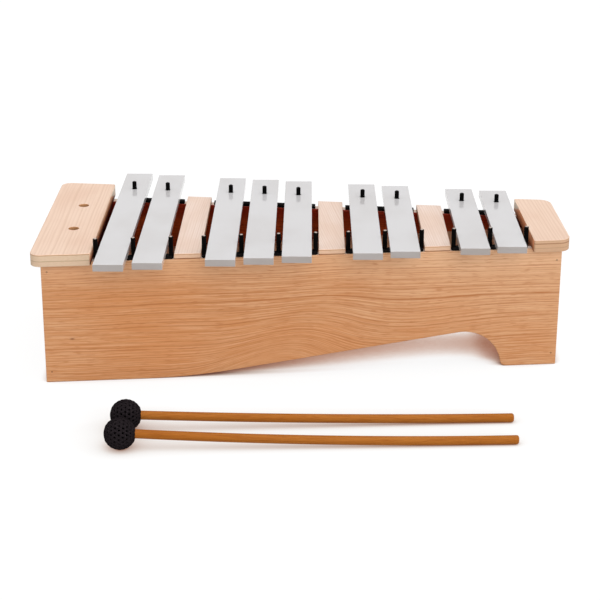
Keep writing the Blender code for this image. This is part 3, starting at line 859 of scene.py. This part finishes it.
def makeCushion(word, side, number, groupXs, pins, finish):
    node = f"{word}_cushion_{number}"
    low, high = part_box(node)
    inset = cushions[word + "Inset"]
    near = sideY(low.x, side, inset)
    far = sideY(low.x, side, inset + cushions["width"])
    strip = addBlock(f"{word}Cushion{number}", Vector((low.x, min(near, far), low.z)),
                     Vector((high.x, max(near, far), caseTop + cushions["base"])))
    openMesh()
    pick("VERT", lambda v: v.co.x > (low.x + high.x) / 2)
    bpy.ops.transform.translate(value=(0.0, -side * sideTaper * (high.x - low.x), 0.0))
    reach = cushions["barWidth"] / 2 - cushions["padMargin"]
    cutAcross([x + end * reach for x in groupXs for end in (-1, 1)], 0)

    def underBar(face):
        return min(abs(face.calc_center_median().x - x) for x in groupXs) < reach / 2

    pick("FACE", lambda f: f.normal.z > flatLimit and underBar(f))
    rise = high.z - caseTop - cushions["base"]
    bpy.ops.mesh.extrude_region_move(TRANSFORM_OT_translate={"value": (0.0, 0.0, rise)})
    roundEdges(lambda e: edgeTurn(e) > cushions["edgeTurn"], cushions["edgeRound"], cushions["edgeSteps"])
    closeMesh()
    margin = cushions["pinMargin"]
    places = [(x, y) for x, y in pins if low.x - margin < x < high.x + margin]
    drill(strip, places, cushions["sleeveRoom"], low.z, high.z, cushions["sleeveSides"])
    dress(strip, [finish], "case", "cushion_rubber", node)
    smoothOff(strip)


rubber = cushionRubber(cushions)
firstBar = 0
for groupNumber, groupSize in enumerate(barGroups, 1):
    nextXs = barXs[firstBar:firstBar + groupSize]
    makeCushion("front", frontSide, groupNumber, nextXs, frontPins, rubber)
    makeCushion("rear", rearSide, groupNumber, nextXs, rearPins, rubber)
    firstBar += groupSize
print("cushion strips made")

# Guide pins: a nail in a black rubber sleeve, modelled once and copied

guidePins = {"sleeveRadius": 0.0024, "height": 0.0238, "rim": 0.0005, "rimSteps": 3, "sides": 24,
             "nailRadius": 0.0010, "nailDepth": 0.0138, "nailPoint": 0.0016, "nailPointShare": 0.8,
             "seat": 0.0003, "headDrop": 0.0003, "headRadius": 0.0016, "headCrown": 0.0004,
             "headRoom": 0.0001, "headInsets": ((0.00025, 0.00022), (0.00060, 0.00010)),
             "slotWalls": (0.00008, 0.00004), "headMargin": 0.00003, "headDepth": 0.0002, "nailDrop": 0.0001,
             "tone": (7, 6, 6), "scuffAndSheen": (22, 18, 18), "steel": (188, 174, 164), "rearSteel": (12, 11, 11),
             "rearTone": (5, 5, 5), "rearScuffAndSheen": (10, 9, 9)}


def sleeveRubber(name, tone, scuffAndSheen):
    g = Graph(name)
    x, y, z = g.places()
    smear = g.noise(x * 0.9, y * 0.9, z * 0.18, 3.0, 0.6)
    grit = g.noise(x * 3.0, y * 3.0, z * 3.0, 2.0)
    # Lighter upright smears: scuffs, and painted sheen on the sleeve
    ground = g.mix(g.step(smear, 0.48, 0.75) * 0.7, tone, scuffAndSheen)
    return g.close(ground, 0.76 + grit * 0.2, g.bump(grit, 0.2, 0.0002), shine=0.04)


def nailSteel(name, colour):
    g = Graph(name)
    x, y, z = g.places()
    pits = g.noise(x * 2.5, y * 2.5, z * 2.5, 3.0, 0.6)
    ground = g.mix(g.step(pits, 0.45, 0.75) * 0.5, colour, tuple(c * 0.72 for c in colour))
    return g.close(ground, 0.38 + pits * 0.2, g.bump(pits, 0.2, 0.0002), also={"Metallic": 0.6})


def modelPin(look):
    # At the origin, standing on z = 0. Insets in the top make the sleeve's rim, a narrow slot and the nail's
    # domed head, and the bottom is drawn out to the nail.
    top = look["height"] - look["headDrop"] - look["headCrown"]
    pin = addRound("guidePin", look["sleeveRadius"], Vector((0.0, 0.0, look["seat"])), top, look["sides"])
    openMesh()
    roundEdges(lambda e: isCorner(e) and edgeMiddle(e).z > top - onPlane, look["rim"], look["rimSteps"])
    sleeveWall = look["sleeveRadius"] - look["rim"] - look["headRadius"] - look["headRoom"]
    outerWall, innerWall = look["slotWalls"]
    pick("FACE", lambda f: f.normal.z > flatLimit)
    bpy.ops.mesh.inset(thickness=sleeveWall, depth=0.0)
    bpy.ops.mesh.inset(thickness=outerWall, depth=-look["headDrop"])
    bpy.ops.mesh.inset(thickness=innerWall, depth=look["headDrop"] * 2.0)
    for width, rise in look["headInsets"]:
        bpy.ops.mesh.inset(thickness=width, depth=rise)
    pick("FACE", lambda f: f.normal.z < -flatLimit)
    bpy.ops.mesh.inset(thickness=look["sleeveRadius"] - look["nailRadius"], depth=0.0)
    bpy.ops.mesh.extrude_region_move(TRANSFORM_OT_translate={"value": (0.0, 0.0, -look["nailDepth"])})
    bpy.ops.mesh.inset(thickness=look["nailRadius"] * look["nailPointShare"], depth=look["nailPoint"])
    closeMesh()
    headReach = look["headRadius"] + look["headMargin"]
    paintFaces(pin, 1, lambda f: f.center.xy.length < headReach and f.center.z > top - look["headDepth"])
    paintFaces(pin, 1, lambda f: f.center.z < look["seat"] - look["nailDrop"])
    return pin


def standPin(model, word, number, spot, finishes):
    pin = model.copy()
    pin.data = model.data.copy()
    pin.name = f"{word}GuidePin{number}"
    pin.data.name = pin.name
    scene.collection.objects.link(pin)
    makeActive(pin)
    pin.location = (spot[0], spot[1], caseTop)
    bpy.ops.object.transform_apply(location=True, rotation=False, scale=False)
    dress(pin, finishes, "case", "sleeve_rubber", f"{word}_pin_{number}")
    smoothBy(smallSmoothAngle)


pinModel = modelPin(guidePins)
frontFinishes = [sleeveRubber("sleeve_rubber", guidePins["tone"], guidePins["scuffAndSheen"]),
                 nailSteel("nail_steel", guidePins["steel"])]
# The rear row takes darker copies of the sleeve and nail finishes.
rearFinishes = [sleeveRubber("rear_sleeve_rubber", guidePins["rearTone"], guidePins["rearScuffAndSheen"]),
                nailSteel("rear_nail_steel", guidePins["rearSteel"])]
for rowWord, pinSpots, pinFinishes in (("front", frontPins, frontFinishes), ("rear", rearPins, rearFinishes)):
    for pinNumber, pinSpot in enumerate(pinSpots, 1):
        standPin(pinModel, rowWord, pinNumber, pinSpot, pinFinishes)
bpy.data.objects.remove(pinModel, do_unlink=True)
print("guide pins made")

# Brads that hold the long panels to the end panels, set just proud of the wood

brads = {"radius": 0.0009, "sides": 16, "proud": 0.00012, "sunk": 0.0012, "rim": 0.00009, "rimSteps": 2,
         "dishWall": 0.0004, "dish": 0.00008, "tone": (70, 40, 26),
         "fromLow": ((0.006, 0.1210), (0.006, 0.0115)), "fromHigh": ((0.005, 0.1175), (0.0055, 0.0130))}


def setBrad(name, x, z, side, finish):
    deselectAll()
    depth = brads["proud"] + brads["sunk"]
    bpy.ops.mesh.primitive_cylinder_add(vertices=brads["sides"], radius=brads["radius"], depth=depth)
    openMesh()
    roundEdges(lambda e: isCorner(e) and edgeMiddle(e).z > 0.0, brads["rim"], brads["rimSteps"])
    pick("FACE", lambda f: f.normal.z > flatLimit)
    bpy.ops.mesh.inset(thickness=brads["dishWall"], depth=-brads["dish"])
    closeMesh()
    brad = bpy.context.object
    outward = Vector((sideTaper, side, 0.0)).normalized()
    spot = Vector((x, midY + side * halfDepth(x), z))
    brad.rotation_euler = outward.to_track_quat("Z", "Y").to_euler()
    brad.location = spot + outward * (brads["proud"] - depth / 2)
    settle(name)
    dress(brad, [finish], "case", None)
    smoothBy(smallSmoothAngle)


bradFinish = nailSteel("brad_steel", brads["tone"])
for sideWord, sideSign in (("front", frontSide), ("rear", rearSide)):
    bradSpots = [(caseLowX + dx, z) for dx, z in brads["fromLow"]]
    bradSpots += [(caseHigh.x - dx, z) for dx, z in brads["fromHigh"]]
    for bradNumber, (bradX, bradZ) in enumerate(bradSpots, 1):
        setBrad(f"{sideWord}Brad{bradNumber}", bradX, bradZ, sideSign, bradFinish)
print("brads set")

# Mallets: a varnished stick with a slight bow, and a ball in a black knitted cover

mallets = {"reach": 0.380, "stickRadius": 0.0044, "stickInHead": 0.0225, "endRound": 0.0020, "endSteps": 5,
           "hiddenRound": 0.0006, "hiddenSteps": 2, "sides": 40, "bowSteps": 24, "sags": (0.0020, 0.0026),
           "sways": (0.0004, 0.0018), "headRadius": 0.0155, "headings": (3.50, 2.27),
           "stickTone": (164, 96, 29), "stickDark": (139, 72, 12), "stickPale": (178, 113, 46)}
knitCover = {"columns": 20, "rows": 12, "hole": 0.0017, "holeShare": 0.85, "wall": 0.00030, "depth": 0.0030,
             "pitShare": 0.3, "rowReach": 0.10, "columnReach": 0.08, "smoothSteps": 2, "swell": 0.989,
             "crown": 1.045, "tone": (28, 24, 26), "fluff": (54, 47, 50), "darkYarnAndHoleShade": (2, 2, 2)}


def stickWood(look):
    g = Graph("stick_wood")
    x, y, z = g.places()
    fibre = g.noise(x * 0.010, y * 0.7, z * 0.7, 2.0, 0.55)
    flecks = g.step(g.noise(x * 0.07, y * 2.0, z * 2.0, 1.0), 0.58, 0.78)
    cloud = g.noise(x * 0.008, y * 0.05, z * 0.05, 2.0)
    ground = g.mix(g.step(cloud, 0.35, 0.68) * 0.4, look["stickTone"], look["stickPale"])
    ground = g.mix(g.step(fibre, 0.42, 0.75) * 0.6, ground, look["stickDark"])
    ground = g.mix(flecks * 0.3, ground, look["stickDark"])
    varnish = {"Coat Weight": 0.05, "Coat Roughness": 0.22}
    relief = g.bump(fibre - flecks * 0.4, 0.08, 0.0003)
    return g.close(ground, 0.45 + fibre * 0.15, relief, shine=0.12, also=varnish)


def woolFluff(g, x, y, z):
    return g.noise(x * 1.4, y * 1.4, z * 1.4, 3.0, 0.65)


def knitYarn(look):
    g = Graph("knit_yarn")
    x, y, z = g.places()
    fluff = woolFluff(g, x, y, z)
    twist = g.noise(x * 0.5, y * 0.5, z * 0.5, 2.0)
    ground = g.mix(g.step(fluff, 0.42, 0.72), look["tone"], look["fluff"])
    ground = g.mix(g.step(twist, 0.48, 0.72) * 0.5, ground, look["darkYarnAndHoleShade"])
    return g.close(ground, 1.0, g.bump(fluff, 0.5, 0.0006), shine=0.0)


def knitHoleShade(look):
    # Painted shade for the stitch holes: near black, with a little yarn showing through.
    g = Graph("knit_hole_shade")
    fluff = woolFluff(g, *g.places())
    ground = g.mix(g.step(fluff, 0.45, 0.75) * 0.3, look["darkYarnAndHoleShade"], look["tone"])
    return g.close(ground, 1.0, g.bump(fluff, 0.4, 0.0005), shine=0.0)


def malletPose(number):
    # The ball's centre, and the turn that lays +Z along the stick and +X towards the ground.
    low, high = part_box(f"mallet_{number}_head")
    droop = math.asin((mallets["headRadius"] - mallets["stickRadius"]) / mallets["reach"])
    turn = Euler((0.0, math.pi / 2 + droop, math.radians(mallets["headings"][number - 1])))
    return (low + high) / 2, turn


def layMallet(piece, number):
    makeActive(piece)
    piece.location, piece.rotation_euler = malletPose(number)
    bpy.ops.object.transform_apply(location=True, rotation=True, scale=True)


def makeStick(number, finish):
    inner = mallets["headRadius"] - mallets["stickInHead"]
    reach = mallets["reach"]
    stick = addRound(f"malletStick{number}", mallets["stickRadius"], Vector((0.0, 0.0, inner)), reach,
                     mallets["sides"])
    openMesh()
    roundEdges(lambda e: isCorner(e) and edgeMiddle(e).z > reach - onPlane, mallets["endRound"],
               mallets["endSteps"])
    roundEdges(lambda e: isCorner(e) and edgeMiddle(e).z < inner + onPlane, mallets["hiddenRound"],
               mallets["hiddenSteps"])
    bowed = reach - mallets["headRadius"]
    steps = mallets["bowSteps"]
    rings = [mallets["headRadius"] + bowed * k / steps for k in range(steps)]
    cutAcross(rings, 2)
    for height in rings[1:]:
        share = (height - mallets["headRadius"]) / bowed
        bow = 4.0 * share * (1.0 - share)
        pick("VERT", lambda v: abs(v.co.z - height) < onPlane)
        sag = mallets["sags"][number - 1] * bow
        sway = mallets["sways"][number - 1] * bow
        bpy.ops.transform.translate(value=(sag, -sway, 0.0))
    closeMesh()
    layMallet(stick, number)
    dress(stick, [finish], f"mallet_{number}", "stick_wood", f"mallet_{number}_stick")
    smoothOff(stick)


def stitchHole(point, row, aside=0.0):
    # Whether a point of the ball is the middle of a stitch hole in this row round the stick's axis, or
    # lies aside from it by this share of a column.
    down = math.acos(max(-1.0, min(1.0, point.normalized().z))) / math.pi * knitCover["rows"]
    turn = math.atan2(point.y, point.x) / math.tau * knitCover["columns"] + 0.5 * (row % 2) + aside
    return abs(down - row) < knitCover["rowReach"] and abs(turn - round(turn)) < knitCover["columnReach"]


def makeHead(number, finishes):
    deselectAll()
    radius = mallets["headRadius"] * knitCover["swell"]
    columns, rows = knitCover["columns"], knitCover["rows"]
    bpy.ops.mesh.primitive_uv_sphere_add(segments=2 * columns, ring_count=2 * rows, radius=radius)
    head = settle(f"malletHead{number}")
    openMesh()
    holeRows = range(2, rows - 1)
    for row in holeRows:
        pick("VERT", lambda v: stitchHole(v.co, row, 0.5))
        bpy.ops.transform.resize(value=(knitCover["crown"],) * 3, center_override=(0.0, 0.0, 0.0))
        gap = math.tau * radius * math.sin(math.pi * row / rows) / (2 * columns)
        pick("VERT", lambda v: stitchHole(v.co, row))
        size = min(knitCover["hole"], gap * knitCover["holeShare"])
        bpy.ops.mesh.bevel(offset=size, offset_type="OFFSET", segments=1, affect="VERTICES")
    pick("FACE", lambda f: any(stitchHole(f.calc_center_median(), row) for row in holeRows))
    for _ in range(2):
        bpy.ops.mesh.inset(thickness=knitCover["wall"], depth=-knitCover["depth"] / 2, use_individual=True)
    closeMesh()
    # The faces deep in the stitch holes take the painted shade.
    paintFaces(head, 1, lambda f: f.center.length < radius - knitCover["depth"] * knitCover["pitShare"])
    shapeBy(head, "SUBSURF", levels=knitCover["smoothSteps"], render_levels=knitCover["smoothSteps"])
    layMallet(head, number)
    dress(head, finishes, f"mallet_{number}", "knit", f"mallet_{number}_head")
    bpy.ops.object.shade_smooth()


stickFinish = stickWood(mallets)
yarnFinishes = [knitYarn(knitCover), knitHoleShade(knitCover)]
for malletNumber in (1, 2):
    makeStick(malletNumber, stickFinish)
    makeHead(malletNumber, yarnFinishes)
print("mallets made")

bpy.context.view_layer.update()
